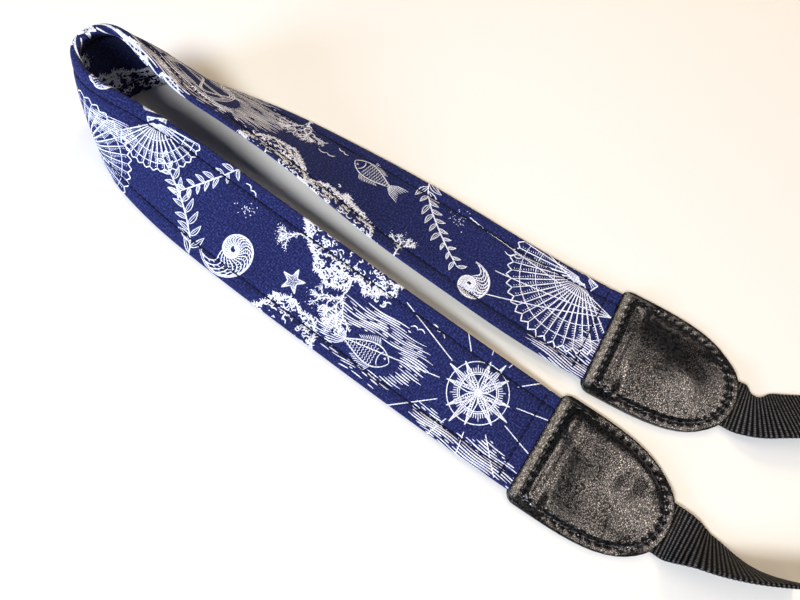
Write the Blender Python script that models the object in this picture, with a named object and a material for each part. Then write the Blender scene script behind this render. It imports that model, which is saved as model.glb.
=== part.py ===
# Padded fabric strap lying folded in a U on a table, with a leather tab and a
# webbing tail at each end.
# X runs along the strap from the loop to the tails, Y across both runs, Z up.
# All sizes are in metres.

from math import ceil, cos, pi, radians, sin, sqrt

import bmesh
import bpy
import numpy as np

MM = 0.001

# Fabric band
BAND_LENGTH = 592 * MM  # fabric seen between the two tabs
BAND_WIDTH = 50 * MM
BAND_THICKNESS = 3 * MM
BAND_TUCKED_IN = 10 * MM  # hidden inside each tab

# Leather tabs, each of two layers sewn together round the rim
LEATHER = 1.2 * MM
TAB_LENGTH = 68.5 * MM
TAB_MARGIN = 3.75 * MM  # what a tab is wider than the band on each side
TAB_WIDTH = BAND_WIDTH + 2 * TAB_MARGIN
TAB_CORNER = 5.5 * MM
TAB_CROWN = 1.2 * MM  # soft filling under the front layer
TAB_RIM = 5.2 * MM  # flat rim outside the stitches
CUT_EDGE = 0.3 * MM  # rounding of a cut leather edge
SLOPE = 6 * MM  # length over which a front layer comes down past a piece under it
LEAD = 2 * MM  # length by which it is raised before that piece begins

# Webbing tails
WEB_WIDTH = 25 * MM
WEB_THICKNESS = 1.8 * MM
WEB_TUCKED_IN = 22 * MM  # hidden inside each tab
NEAR_WEB_LENGTH = 83 * MM
FAR_WEB_LENGTH = 58 * MM

# Clearances
GAP = 0.3 * MM  # between pieces that lie on each other
STAND = LEATHER + GAP  # what lies on a back layer stands this high

# Longest distance between two sections of a strip
SECTION_STEP = 9 * MM

# Where the band comes out of the near tab, before the whole strap is centred
NEAR_MOUTH_X = 42.6 * MM
NEAR_MOUTH_Y = 61.0 * MM
NEAR_MOUTH = (NEAR_MOUTH_X, NEAR_MOUTH_Y)
NEAR_TAB_HEADING = 0.8
FAR_TAB_HEADING = 5.2

# Columns: share of the strip's length, heading in degrees from +X, roll in degrees
# that lifts the right-hand edge, share of STAND, share of the width that the
# left-hand edge is drawn in, bow of the middle towards the face as a share of the
# half width. The lower edge rests on the table.
BAND_ROWS = (
    (0.000, 180.8, 0, 1.0, 0, 0.00),
    (0.100, 179.1, 9, 0.0, 0, 0.00),
    (0.200, 178.4, 13, 0.0, 0, 0.00),
    (0.290, 178.5, 19, 0.0, 0, 0.00),
    (0.360, 178.1, 31, 0.0, 0, 0.00),
    (0.410, 176.2, 48, 0.0, 0, 0.04),
    (0.445, 166.8, 65, 0.0, 0, 0.13),
    (0.475, 133.3, 81, 0.0, 0, 0.14),
    (0.500, 86.5, 90, 0.0, 0, 0.06),
    (0.525, 43.1, 86, 0.0, 0, 0.10),
    (0.555, 13.7, 69, 0.0, 0, 0.10),
    (0.590, 6.8, 53, 0.0, 0, 0.04),
    (0.640, 5.7, 42, 0.0, 0, 0.00),
    (0.710, 1.8, 31, 0.0, 0, 0.00),
    (0.800, 1.3, 14, 0.0, 0, 0.00),
    (0.900, 0.2, 6, 0.0, 0, 0.00),
    (1.000, 5.2, 0, 1.0, 0, 0.00),
)
NEAR_WEB_ROWS = (
    (0.00, 0.8, 0, 1.0, 0, 0),
    (0.25, 0.8, 0, 1.0, 0, 0),
    (0.29, 0.9, 0, 1.0, 0, 0),
    (0.36, 2.0, 17, 0.5, 0, 0),
    (0.43, 4.0, 36, 0.0, 0, 0),
    (0.55, 7.0, 53, 0.0, 0, 0),
    (0.64, 11.0, 65, 0.0, 0, 0),
    (0.73, 16.0, 76, 0.0, 0, 0),
    (0.83, 21.0, 85, 0.0, 0, 0),
    (1.00, 24.0, 92, 0.0, 0, 0),
)
FAR_WEB_ROWS = (
    (0.00, 5.2, 0, 1.0, 0.00, 0),
    (0.38, 5.2, 0, 1.0, 0.00, 0),
    (0.42, 5.4, 0, 1.0, 0.00, 0),
    (0.50, 14.0, 8, 0.6, 0.12, 0),
    (0.60, 25.0, 18, 0.1, 0.14, 0),
    (0.70, 31.0, 26, 0.0, 0.02, 0),
    (0.84, 32.0, 29, 0.0, 0.00, 0),
    (1.00, 32.0, 29, 0.0, 0.00, 0),
)

# Columns: place across as a share of the half width, half thickness as a share.
# The band is thinner along its two topstitched lines.
BAND_PROFILE = (
    (-1.00, 0.35),
    (-0.97, 0.82),
    (-0.72, 0.78),
    (-0.48, 1.00),
    (0.00, 1.00),
    (0.48, 1.00),
    (0.72, 0.78),
    (0.97, 0.82),
    (1.00, 0.35),
)
WEB_PROFILE = (
    (-1.00, 0.40),
    (-0.96, 1.00),
    (0.96, 1.00),
    (1.00, 0.40),
)

# Places along a tab's side up to its tip, as shares of its length
TAB_SIDE = (
    0.11, 0.145, 0.18, 0.22, 0.28, 0.35, 0.43, 0.51, 0.59, 0.66, 0.73,
    0.79, 0.845, 0.89, 0.925, 0.953, 0.975, 0.990, 0.998, 1.0,
)

# Rings of a tab layer on its rim, as shares of the rim's width, and inside it, as
# shares of the rim's inner outline
TAB_RIM_RINGS = (0.23, 0.46, 0.69, 1.0)
TAB_INNER_RINGS = (0.92, 0.82, 0.68, 0.48, 0.24)

# Columns: name, base colour, roughness
MATERIALS = (
    ("printed cotton", (0.075, 0.090, 0.260), 0.85),
    ("black leather", (0.016, 0.015, 0.015), 0.50),
    ("black webbing", (0.010, 0.010, 0.012), 0.80),
)


def smooth_column(rows, column, shares):
    """Reads one column of a table at the shares, with a soft curve through its rows."""
    x = np.array([row[0] for row in rows])
    y = np.array([row[column] for row in rows], float)
    step = np.diff(x)
    slope = np.diff(y) / step
    tangent = np.empty(len(x))
    tangent[1:-1] = (slope[:-1] * step[1:] + slope[1:] * step[:-1]) / (step[1:] + step[:-1])
    tangent[0] = slope[0]
    tangent[-1] = slope[-1]
    i = np.clip(np.searchsorted(x, shares, side="right") - 1, 0, len(step) - 1)
    t = (shares - x[i]) / step[i]
    start = (2 * t**3 - 3 * t**2 + 1) * y[i] + (t**3 - 2 * t**2 + t) * step[i] * tangent[i]
    end = (3 * t**2 - 2 * t**3) * y[i + 1] + (t**3 - t**2) * step[i] * tangent[i + 1]
    return start + end


def chosen_shares(rows, length, longest=SECTION_STEP, turn=5.0):
    """Shares of the length where sections stand: closer where the strip turns or rolls."""
    shares = [0.0]
    for here, after in zip(rows[:-1], rows[1:]):
        span = after[0] - here[0]
        bend = max(abs(after[1] - here[1]), abs(after[2] - here[2]))
        count = max(ceil(span * length / longest), ceil(bend / turn), 2)
        shares += [here[0] + span * (k + 1) / count for k in range(count)]
    return np.array(shares)


def strip_frames(rows, length, width, thickness, start):
    """Centre, across and face directions of a flat strip whose lower edge rests on the table."""
    fine = np.linspace(0, 1, 1201)
    heading = np.radians(smooth_column(rows, 1, fine))
    roll = np.radians(smooth_column(rows, 2, fine))
    stand = np.clip(smooth_column(rows, 3, fine), 0, 1) * STAND
    height = width / 2 * np.sin(np.abs(roll)) + thickness / 2 * np.cos(roll) + stand
    step = length / (len(fine) - 1)
    climb = np.gradient(height, step)
    level = np.sqrt(1 - climb**2)
    along = np.stack([np.cos(heading) * level, np.sin(heading) * level, climb], 1)
    middle = (along[1:] + along[:-1]) / 2 * step
    centre = np.concatenate([np.zeros((1, 3)), np.cumsum(middle, axis=0)])
    centre[:, :2] += start
    centre[:, 2] = height
    right = np.stack([np.sin(heading), -np.cos(heading), 0 * heading], 1)
    above = np.cross(right, along)
    above /= np.linalg.norm(above, axis=1)[:, None]
    across = np.cos(roll)[:, None] * right + np.sin(roll)[:, None] * above
    face = np.cross(across, along)
    wanted = chosen_shares(rows, length)
    picked = [
        np.stack([np.interp(wanted, fine, values[:, k]) for k in range(3)], 1)
        for values in (centre, across, face, along)
    ]
    drawn_in = smooth_column(rows, 4, wanted)
    bow = smooth_column(rows, 5, wanted) * width / 2
    return list(zip(*picked, drawn_in, bow))


def strip_section(frame, profile, width, thickness):
    """One closed section of a strip, face side first."""
    centre, across, face, _, drawn_in, bow = frame
    ring = []
    for side, table in ((1, profile), (-1, profile[::-1])):
        for place, share in table:
            out = place * width / 2
            if place < 0:
                out *= 1 - 2 * drawn_in
            up = bow * (1 - place**2) + side * share * thickness / 2
            ring.append(centre + across * out + face * up)
    return ring


def loft(sections):
    """A closed solid through sections that all have the same number of points."""
    bm = bmesh.new()
    rings = [[bm.verts.new(point) for point in section] for section in sections]
    for here, after in zip(rings[:-1], rings[1:]):
        for k in range(len(here)):
            n = (k + 1) % len(here)
            bm.faces.new((here[k], here[n], after[n], after[k]))
    bm.faces.new(rings[0][::-1])
    bm.faces.new(rings[-1])
    bmesh.ops.recalc_face_normals(bm, faces=bm.faces[:])
    return bm


def strip(rows, length, width, thickness, profile, start, extra_ends=(0, 0)):
    """A flat strip along its table, carried straight on at each end where wanted."""
    frames = strip_frames(rows, length, width, thickness, start)
    first = frames[0]
    last = frames[-1]
    flat_first = np.array([first[3][0], first[3][1], 0.0])
    flat_last = np.array([last[3][0], last[3][1], 0.0])
    if extra_ends[0]:
        frames.insert(0, (first[0] - flat_first * extra_ends[0], *first[1:]))
    if extra_ends[1]:
        frames.append((last[0] + flat_last * extra_ends[1], *last[1:]))
    return loft([strip_section(frame, profile, width, thickness) for frame in frames])


def soft_step(value):
    """0 below 0, 1 above 1, and a soft curve between."""
    t = min(max(value, 0.0), 1.0)
    return t * t * (3 - 2 * t)


def tab_outline():
    """Outline of a tab from the straight edge's middle round the tip: along and across."""
    half = TAB_WIDTH / 2
    straight = [(0.0, (half - TAB_CORNER) * k / 6) for k in range(6)]
    corner = []
    for k in range(7):
        angle = pi / 2 * k / 6
        corner.append((TAB_CORNER * (1 - cos(angle)), half - TAB_CORNER * (1 - sin(angle))))
    side = [(share * TAB_LENGTH, half * sqrt(1 - share**4)) for share in TAB_SIDE]
    upper = straight + corner + side
    lower = [(along, -across) for along, across in upper[1:-1][::-1]]
    return np.array(upper + lower)


def drawn_inward(outline, distance):
    """The outline moved inward by a distance, point by point."""
    before = np.roll(outline, 1, axis=0)
    after = np.roll(outline, -1, axis=0)
    tangent = after - before
    tangent /= np.linalg.norm(tangent, axis=1)[:, None]
    inward = np.stack([tangent[:, 1], -tangent[:, 0]], 1)
    return outline + inward * distance


def distance_to_side(point, outline):
    """Distance to the rim, with the straight edge at the band left out."""
    rim = outline[outline[:, 0] > TAB_CORNER * 0.5]
    a = rim[:-1]
    b = rim[1:]
    span = b - a
    t = np.clip(((point - a) * span).sum(1) / (span**2).sum(1), 0, 1)
    return np.linalg.norm(point - a - span * t[:, None], axis=1).min()


def underside(point, outline):
    """Height of a front layer's underside: flat rim, raised over band, filling and webbing."""
    along, across = point
    band_high = BAND_THICKNESS + GAP
    web_high = WEB_THICKNESS + GAP
    filled = soft_step((distance_to_side(point, outline) - 2 * GAP) / SLOPE)
    over_band = 1 - soft_step((abs(across) - BAND_WIDTH / 2 + 2 * GAP) / TAB_MARGIN)
    over_band *= 1 - soft_step((along - BAND_TUCKED_IN - LEAD) / SLOPE)
    over_web = 1 - soft_step((abs(across) - WEB_WIDTH / 2 - GAP) / (SLOPE / 2))
    over_web *= soft_step((along - TAB_LENGTH + WEB_TUCKED_IN + LEAD) / SLOPE + 1)
    tip = 1 - soft_step((along - 0.55 * TAB_LENGTH) / (0.40 * TAB_LENGTH))
    filling = (web_high + (band_high - web_high) * tip) * filled
    return STAND + max(filling, band_high * over_band, web_high * over_web)


def crown(point, outline):
    """Extra height of the soft middle of a tab, none on the rim all round."""
    inside = min(distance_to_side(point, outline), point[0])
    return TAB_CROWN * soft_step((inside - TAB_RIM) / (9 * MM))


def tab_layer(front):
    """One leather layer of a tab, in the tab's own place: along, across, up."""
    outline = tab_outline()
    steps = (0.0, CUT_EDGE) + tuple(TAB_RIM * share for share in TAB_RIM_RINGS)
    rim = [drawn_inward(outline, step) for step in steps]
    middle = np.array([0.46 * TAB_LENGTH, 0.0])
    rim += [middle + (rim[-1] - middle) * share for share in TAB_INNER_RINGS]
    bm = bmesh.new()

    def ring(points, lift, top):
        made = []
        for point in points:
            if front:
                z = underside(point, outline) + (LEATHER + crown(point, outline)) * top
            else:
                z = LEATHER * top
            made.append(bm.verts.new((point[0], point[1], z + lift)))
        return made

    def close(here, after):
        for k in range(len(here)):
            n = (k + 1) % len(here)
            bm.faces.new((here[k], here[n], after[n], after[k]))

    rings_used = rim if front else rim[:2]
    lower = [ring(points, 0.0, 0) for points in rings_used[:1] + rings_used[2:]]
    upper = [ring(rim[0], -CUT_EDGE, 1)] + [ring(points, 0.0, 1) for points in rings_used[1:]]
    close(lower[0], upper[0])
    for rings in (lower, upper):
        for here, after in zip(rings[:-1], rings[1:]):
            close(here, after)
    bm.faces.new(lower[-1])
    bm.faces.new(upper[-1])
    bmesh.ops.recalc_face_normals(bm, faces=bm.faces[:])
    return bm


def placed(bm, heading, mouth):
    """Turns a tab layer to its heading and moves it to its mouth."""
    angle = radians(heading)
    for vert in bm.verts:
        x, y, z = vert.co
        vert.co = (
            mouth[0] + x * cos(angle) - y * sin(angle),
            mouth[1] + x * sin(angle) + y * cos(angle),
            z,
        )
    return bm


def tail_start(heading, mouth):
    """Where a webbing tail begins inside its tab."""
    angle = radians(heading)
    inside = TAB_LENGTH - WEB_TUCKED_IN
    return (mouth[0] + inside * cos(angle), mouth[1] + inside * sin(angle))


def material(row):
    name, colour, roughness = row
    made = bpy.data.materials.new(name)
    made.use_nodes = True
    shader = made.node_tree.nodes["Principled BSDF"]
    shader.inputs["Base Color"].default_value = (*colour, 1.0)
    shader.inputs["Roughness"].default_value = roughness
    made.diffuse_color = (*colour, 1.0)
    return made


def finish(name, bm, look, shift):
    """Makes the named object from its mesh, moved by the shift that centres the strap."""
    bmesh.ops.triangulate(bm, faces=[f for f in bm.faces if len(f.verts) > 4])
    bmesh.ops.translate(bm, verts=bm.verts[:], vec=shift)
    mesh = bpy.data.meshes.new(name)
    bm.to_mesh(mesh)
    bm.free()
    mesh.polygons.foreach_set("use_smooth", [True] * len(mesh.polygons))
    mesh.materials.append(look)
    thing = bpy.data.objects.new(name, mesh)
    bpy.context.scene.collection.objects.link(thing)
    print(name, "faces", len(mesh.polygons))
    return thing


for old in list(bpy.data.objects):
    bpy.data.objects.remove(old, do_unlink=True)

cotton, leather, webbing = [material(row) for row in MATERIALS]
FAR_MOUTH = strip_frames(BAND_ROWS, BAND_LENGTH, BAND_WIDTH, BAND_THICKNESS, NEAR_MOUTH)[-1][0]
print("far mouth in mm", (FAR_MOUTH / MM).round(2))
pieces = {
    "fabric_band": (
        strip(
            BAND_ROWS,
            BAND_LENGTH,
            BAND_WIDTH,
            BAND_THICKNESS,
            BAND_PROFILE,
            NEAR_MOUTH,
            (BAND_TUCKED_IN, BAND_TUCKED_IN),
        ),
        cotton,
    ),
    "near_tab_front": (placed(tab_layer(True), NEAR_TAB_HEADING, NEAR_MOUTH), leather),
    "near_tab_back": (placed(tab_layer(False), NEAR_TAB_HEADING, NEAR_MOUTH), leather),
    "far_tab_front": (placed(tab_layer(True), FAR_TAB_HEADING, FAR_MOUTH), leather),
    "far_tab_back": (placed(tab_layer(False), FAR_TAB_HEADING, FAR_MOUTH), leather),
    "near_webbing": (
        strip(
            NEAR_WEB_ROWS,
            NEAR_WEB_LENGTH,
            WEB_WIDTH,
            WEB_THICKNESS,
            WEB_PROFILE,
            tail_start(NEAR_TAB_HEADING, NEAR_MOUTH),
        ),
        webbing,
    ),
    "far_webbing": (
        strip(
            FAR_WEB_ROWS,
            FAR_WEB_LENGTH,
            WEB_WIDTH,
            WEB_THICKNESS,
            WEB_PROFILE,
            tail_start(FAR_TAB_HEADING, FAR_MOUTH),
        ),
        webbing,
    ),
}
corners = np.array([vert.co[:] for bm, _ in pieces.values() for vert in bm.verts])
low = corners.min(axis=0)
high = corners.max(axis=0)
centring = (-(low[0] + high[0]) / 2, -(low[1] + high[1]) / 2, -low[2])
print("box in mm", ((high - low) / MM).round(2), "moved by", (np.array(centring) / MM).round(2))
for name, (bm, look) in pieces.items():
    finish(name, bm, look, centring)
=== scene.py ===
# %% [markdown]
# # A padded strap, folded once and laid on a table
# The real thing is a long cotton band with a soft filling. Each end is sewn into a
# leather tab, and a ribbed webbing tail leaves the tab. It lies in a U, print side up.
# A cloth simulation would rub out the thin rims and seams of something so flat. So each
# piece is made flat first, the way it is sewn, and one function then lays it in its fold.

from math import cos, pi, radians, sin

import bmesh
import bpy
import numpy as np
from mathutils import Matrix, Vector


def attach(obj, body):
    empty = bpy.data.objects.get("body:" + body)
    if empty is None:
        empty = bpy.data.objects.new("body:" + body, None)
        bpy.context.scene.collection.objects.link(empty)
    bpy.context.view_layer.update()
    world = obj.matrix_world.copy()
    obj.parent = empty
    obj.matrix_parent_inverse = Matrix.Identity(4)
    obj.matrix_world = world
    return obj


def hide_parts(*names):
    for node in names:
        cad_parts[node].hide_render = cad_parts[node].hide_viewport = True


MM = 0.001
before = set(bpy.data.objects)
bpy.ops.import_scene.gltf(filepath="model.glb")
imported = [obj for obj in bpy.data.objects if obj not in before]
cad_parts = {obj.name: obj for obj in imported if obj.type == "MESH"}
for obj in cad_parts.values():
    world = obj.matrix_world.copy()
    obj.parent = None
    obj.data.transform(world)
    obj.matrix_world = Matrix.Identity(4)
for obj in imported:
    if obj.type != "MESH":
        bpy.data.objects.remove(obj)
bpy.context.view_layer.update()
print("CAD nodes", sorted(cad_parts))

# %% [markdown]
# ## Sizes and the fold
# These are the sizes of the solids in the frame. A strip that stands or rolls on a table
# keeps its lower edge down, so a short table of headings and rolls says how it lies, and
# no point is placed by hand. The columns are: share of the length, heading in degrees
# from +X, roll in degrees that lifts the right-hand edge, share of the height at which it
# stands inside a tab, share of the width that is drawn in at the left-hand edge, and bow
# of the middle as a share of the half width.

# %% Sizes and the fold
BAND_LENGTH = 592 * MM
BAND_WIDTH = 50 * MM
BAND_THICKNESS = 3 * MM
BAND_TUCKED_IN = 10 * MM
LEATHER = 1.2 * MM
TAB_LENGTH = 68.5 * MM
TAB_MARGIN = 3.75 * MM  # from the band's edge to the leather's
TAB_WIDTH = BAND_WIDTH + 2 * TAB_MARGIN
TAB_CORNER = 5.5 * MM
TAB_CROWN = 1.2 * MM
TAB_RIM = 5.2 * MM
WEB_WIDTH = 25 * MM
WEB_THICKNESS = 1.8 * MM
WEB_TUCKED_IN = 22 * MM
GAP = 0.3 * MM  # air between neighbours
STAND = LEATHER + GAP  # what lies in a tab stands on its lower layer
TABLE = 0.043 * MM  # the strap is this much higher, so that its lowest point is at 0
NEAR_MOUTH = (79.768 * MM, -32.660 * MM)  # middle of the near tab's straight edge
HEADINGS = {"near": 0.8, "far": 5.2}  # of the tabs, in degrees from +X

BAND_ROWS = (
    (0.000, 180.8, 0, 1, 0, 0),
    (0.100, 179.1, 9, 0, 0, 0),
    (0.200, 178.4, 13, 0, 0, 0),
    (0.290, 178.5, 19, 0, 0, 0),
    (0.360, 178.1, 31, 0, 0, 0),
    (0.410, 176.2, 48, 0, 0, 0.04),
    (0.445, 166.8, 65, 0, 0, 0.13),
    (0.475, 133.3, 81, 0, 0, 0.14),
    (0.500, 86.5, 90, 0, 0, 0.06),
    (0.525, 43.1, 86, 0, 0, 0.10),
    (0.555, 13.7, 69, 0, 0, 0.10),
    (0.590, 6.8, 53, 0, 0, 0.04),
    (0.640, 5.7, 42, 0, 0, 0),
    (0.710, 1.8, 31, 0, 0, 0),
    (0.800, 1.3, 14, 0, 0, 0),
    (0.900, 0.2, 6, 0, 0, 0),
    (1.000, 5.2, 0, 1, 0, 0),
)
NEAR_WEB_ROWS = (
    (0.00, 0.8, 0, 1, 0, 0),
    (0.25, 0.8, 0, 1, 0, 0),
    (0.29, 0.9, 0, 1, 0, 0),
    (0.36, 2.0, 17, 0.5, 0, 0),
    (0.43, 4.0, 36, 0, 0, 0),
    (0.55, 7.0, 53, 0, 0, 0),
    (0.64, 11.0, 65, 0, 0, 0),
    (0.73, 16.0, 76, 0, 0, 0),
    (0.83, 21.0, 85, 0, 0, 0),
    (1.00, 24.0, 92, 0, 0, 0),
)
FAR_WEB_ROWS = (
    (0.00, 5.2, 0, 1, 0, 0),
    (0.38, 5.2, 0, 1, 0, 0),
    (0.42, 5.4, 0, 1, 0, 0),
    (0.50, 14.0, 8, 0.6, 0.12, 0),
    (0.60, 25.0, 18, 0.1, 0.14, 0),
    (0.70, 31.0, 26, 0, 0.02, 0),
    (0.84, 32.0, 29, 0, 0, 0),
    (1.00, 32.0, 29, 0, 0, 0),
)
TAILS = {"near": (NEAR_WEB_ROWS, 83 * MM), "far": (FAR_WEB_ROWS, 58 * MM)}

# The loop's upper edge is thick and rolled: share, extra thickness at the back as a
# share of the half thickness, curl of the edge in mm and swell of the face in mm.
LOOP_ROWS = (
    (0.00, 0, 0, 0),
    (0.42, 0, 0, 0),
    (0.46, 1.0, 0, 0.3),
    (0.49, 1.9, -0.9, 1.0),
    (0.52, 2.4, -1.6, 2.2),
    (0.55, 2.4, 0.8, 3.0),
    (0.59, 1.0, 0.6, 1.5),
    (0.64, 0, 0, 0),
    (1.00, 0, 0, 0),
)
SHARES = np.linspace(0, 1, 1201)


def smooth_column(rows, column):
    """Reads one column of a table at all the shares, as a soft curve through its rows."""
    x = np.array([row[0] for row in rows])
    y = np.array([row[column] for row in rows], float)
    step = np.diff(x)
    slope = np.diff(y) / step
    inner = (slope[:-1] * step[1:] + slope[1:] * step[:-1]) / (step[1:] + step[:-1])
    tangent = np.concatenate([slope[:1], inner, slope[-1:]])
    i = np.clip(np.searchsorted(x, SHARES, side="right") - 1, 0, len(step) - 1)
    t = (SHARES - x[i]) / step[i]
    start = (2 * t**3 - 3 * t**2 + 1) * y[i] + (t**3 - 2 * t**2 + t) * step[i] * tangent[i]
    end = (3 * t**2 - 2 * t**3) * y[i + 1] + (t**3 - t**2) * step[i] * tangent[i + 1]
    return start + end


# %% [markdown]
# ## From flat to folded
# `strip_route` walks along a strip and notes where its middle is and which way its
# right-hand side and its face point. `lay_in_fold` then moves any point that was drawn
# on the flat strip (x along, y to the right, z up from its middle) to its place. A Curve
# modifier could bend the strip too, but its lower edge would not stay on the table by
# itself. One pair of functions serves the band, its print, its seams and both tails.

# %% Lines of points
def unit(vectors):
    """The same directions with a length of one."""
    return vectors / np.linalg.norm(vectors, axis=-1)[..., None]


def way_along(line):
    """How far along a line each of its points is."""
    return np.concatenate([[0], np.cumsum(np.linalg.norm(np.diff(line, axis=0), axis=1))])


def read_line(line, way, at):
    """The places at some distances along a line whose points lie at the way's distances."""
    return np.stack([np.interp(at, way, column) for column in line.T], -1)


# %% From flat to folded
PUFF_FROM, PUFF_OVER, CURL_FROM = 0.35, 0.6, 0.3  # shares of the half width


def strip_route(rows, length, width, thickness, start):
    """Centre, directions, draw-in and bow all along a strip whose lower edge is down."""
    heading, roll = (np.radians(smooth_column(rows, column)) for column in (1, 2))
    stand = np.clip(smooth_column(rows, 3), 0, 1) * STAND
    height = width / 2 * np.sin(np.abs(roll)) + thickness / 2 * np.cos(roll) + stand
    step = length / (len(SHARES) - 1)
    climb = np.gradient(height, step)
    level = np.sqrt(1 - climb**2)
    along = np.stack([np.cos(heading) * level, np.sin(heading) * level, climb], 1)
    middle = (along[1:] + along[:-1]) / 2 * step
    centre = np.concatenate([np.zeros((1, 3)), np.cumsum(middle, axis=0)])
    centre[:, :2] += start
    centre[:, 2] = height + TABLE
    right = np.stack([np.sin(heading), -np.cos(heading), 0 * heading], 1)
    above = unit(np.cross(right, along))
    across = np.cos(roll)[:, None] * right + np.sin(roll)[:, None] * above
    return {
        "at": SHARES * length,
        "centre": centre,
        "across": across,
        "face": np.cross(across, along),
        "ends": along[[0, -1]] * (1, 1, 0),
        "drawn_in": smooth_column(rows, 4),
        "bow": smooth_column(rows, 5) * width / 2,
        "puff": 0 * SHARES,
        "curl": 0 * SHARES,
        "half": width / 2,
    }


def lay_in_fold(flat, route):
    """Moves points of the flat strip to their place on the folded one."""
    x, y, z = flat.T
    way = route["at"]
    at = np.clip(x, way[0], way[-1])
    centre, across, face = (
        read_line(route[key], way, at) for key in ("centre", "across", "face")
    )
    drawn_in, bow, puff, curl = (
        np.interp(at, way, route[key]) for key in ("drawn_in", "bow", "puff", "curl")
    )
    place = y / route["half"]
    side = np.where(y < 0, y * (1 - 2 * drawn_in), y)
    puff = puff * np.clip((place - PUFF_FROM) / PUFF_OVER, 0, 1) ** 1.5
    rise = np.where(z < 0, z * (1 + puff), z)
    rise += bow * (1 - place**2)
    rise -= curl * (np.clip(place - CURL_FROM, 0, 1) / (1 - CURL_FROM)) ** 2
    beyond = (x - at)[:, None]
    beyond = beyond * np.where(beyond < 0, *route["ends"])
    return centre + across * side[:, None] + face * rise[:, None] + beyond


band_route = strip_route(BAND_ROWS, BAND_LENGTH, BAND_WIDTH, BAND_THICKNESS, NEAR_MOUTH)
band_route["puff"] = smooth_column(LOOP_ROWS, 1)
band_route["curl"] = smooth_column(LOOP_ROWS, 2) * MM
band_route["bow"] = band_route["bow"] + smooth_column(LOOP_ROWS, 3) * MM
MOUTHS = {"near": NEAR_MOUTH, "far": band_route["centre"][-1]}

tail_routes = {}
for end, (rows, length) in TAILS.items():
    angle = radians(HEADINGS[end])
    inside = TAB_LENGTH - WEB_TUCKED_IN
    start = (MOUTHS[end][0] + inside * cos(angle), MOUTHS[end][1] + inside * sin(angle))
    tail_routes[end] = strip_route(rows, length, WEB_WIDTH, WEB_THICKNESS, start)

# %% [markdown]
# ## The camera
# The photograph was taken by hand from above, nearly straight down. The lens of a
# phone is short, about 27 mm on a 36 mm sensor, so the tabs on the right look larger
# than the loop.

# %% The camera
LENS = 27.045
SENSOR = 36
CAMERA_PLACE = (0.03717, -0.09366, 0.28536)
CAMERA_TURNS = (("X", -18.5704), ("Y", 1.5221), ("Z", -34.5747))


def show(thing):
    """Links an object into the scene."""
    bpy.context.scene.collection.objects.link(thing)
    return thing


def make_camera():
    """The camera at the photograph's place, turned by three plain rotations."""
    turn = Matrix.Identity(3)
    for axis, angle in CAMERA_TURNS:
        turn = turn @ Matrix.Rotation(radians(angle), 3, axis)
    data = bpy.data.cameras.new("camera")
    data.lens = LENS
    data.sensor_width = SENSOR
    data.clip_start = 0.01
    data.clip_end = 20
    camera = show(bpy.data.objects.new("camera", data))
    camera.matrix_world = Matrix.Translation(CAMERA_PLACE) @ turn.transposed().to_4x4()
    bpy.context.scene.camera = camera
    return camera


camera = make_camera()
print("camera looks along", camera.matrix_world.to_3x3() @ Vector((0, 0, -1)))

# %% [markdown]
# ## Small helpers
# A finished bmesh becomes an object that rides on the frame's one body. `points_of` and
# `put_points` hand all vertices to numpy at once, which is far quicker than a loop.

# %% Bmesh helpers
def points_of(bm):
    """All vertices of a bmesh as one array."""
    return np.array([vert.co[:] for vert in bm.verts])


def put_points(bm, points):
    """Writes an array of places back to the vertices of a bmesh."""
    for vert, point in zip(bm.verts, points):
        vert.co = point


def as_mesh(name, bm):
    """Turns a bmesh into a mesh and frees it."""
    mesh = bpy.data.meshes.new(name)
    bm.to_mesh(mesh)
    bm.free()
    return mesh


def append_to(whole, part):
    """Adds one bmesh to another."""
    mesh = as_mesh("part", part)
    whole.from_mesh(mesh)
    bpy.data.meshes.remove(mesh)


def baked(thing):
    """The shape of a curve or of an object with a modifier, as a bmesh."""
    show(thing)
    graph = bpy.context.evaluated_depsgraph_get()
    mesh = bpy.data.meshes.new_from_object(thing.evaluated_get(graph))
    bm = bmesh.new()
    bm.from_mesh(mesh)
    bpy.data.objects.remove(thing)
    bpy.data.meshes.remove(mesh)
    return bm


def finish_piece(name, bm, look, replaced=()):
    """Turns a bmesh into a shown piece of the strap."""
    mesh = as_mesh(name, bm)
    mesh.polygons.foreach_set("use_smooth", [True] * len(mesh.polygons))
    mesh.materials.append(look)
    piece = show(bpy.data.objects.new(name, mesh))
    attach(piece, "root")
    if replaced:
        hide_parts(*replaced)
    mesh.calc_loop_triangles()
    print(name, "triangles", len(mesh.loop_triangles))
    return piece


# %% Soft shapes
def soft_step(value):
    """0 below 0, 1 above 1, and a soft curve between, for arrays."""
    t = np.clip(value, 0, 1)
    return t * t * (3 - 2 * t)


def swell(distance, height, width):
    """A soft round ridge, or a groove where the height is negative."""
    return height * np.exp(-((distance / width) ** 2))


def soft_waves(x, y, seed, longest, shortest, count=10):
    """A calm uneven surface, about -1 to 1: a few sine waves in seeded directions."""
    rng = np.random.default_rng(seed)
    total = 0 * x
    for _ in range(count):
        size = shortest * (longest / shortest) ** rng.random()
        angle = rng.uniform(0, pi)
        phase = rng.uniform(0, 2 * pi)
        total += np.sin((x * cos(angle) + y * sin(angle)) * 2 * pi / size + phase)
    return total / count**0.5


# %% [markdown]
# ## Materials
# Cloth, leather and webbing could be photographed textures. Nodes are used instead,
# because they stay sharp from near and have no seams. `add` makes a node and `feed`
# fills its inputs, so that each material below reads as a list of what feeds what.

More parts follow.
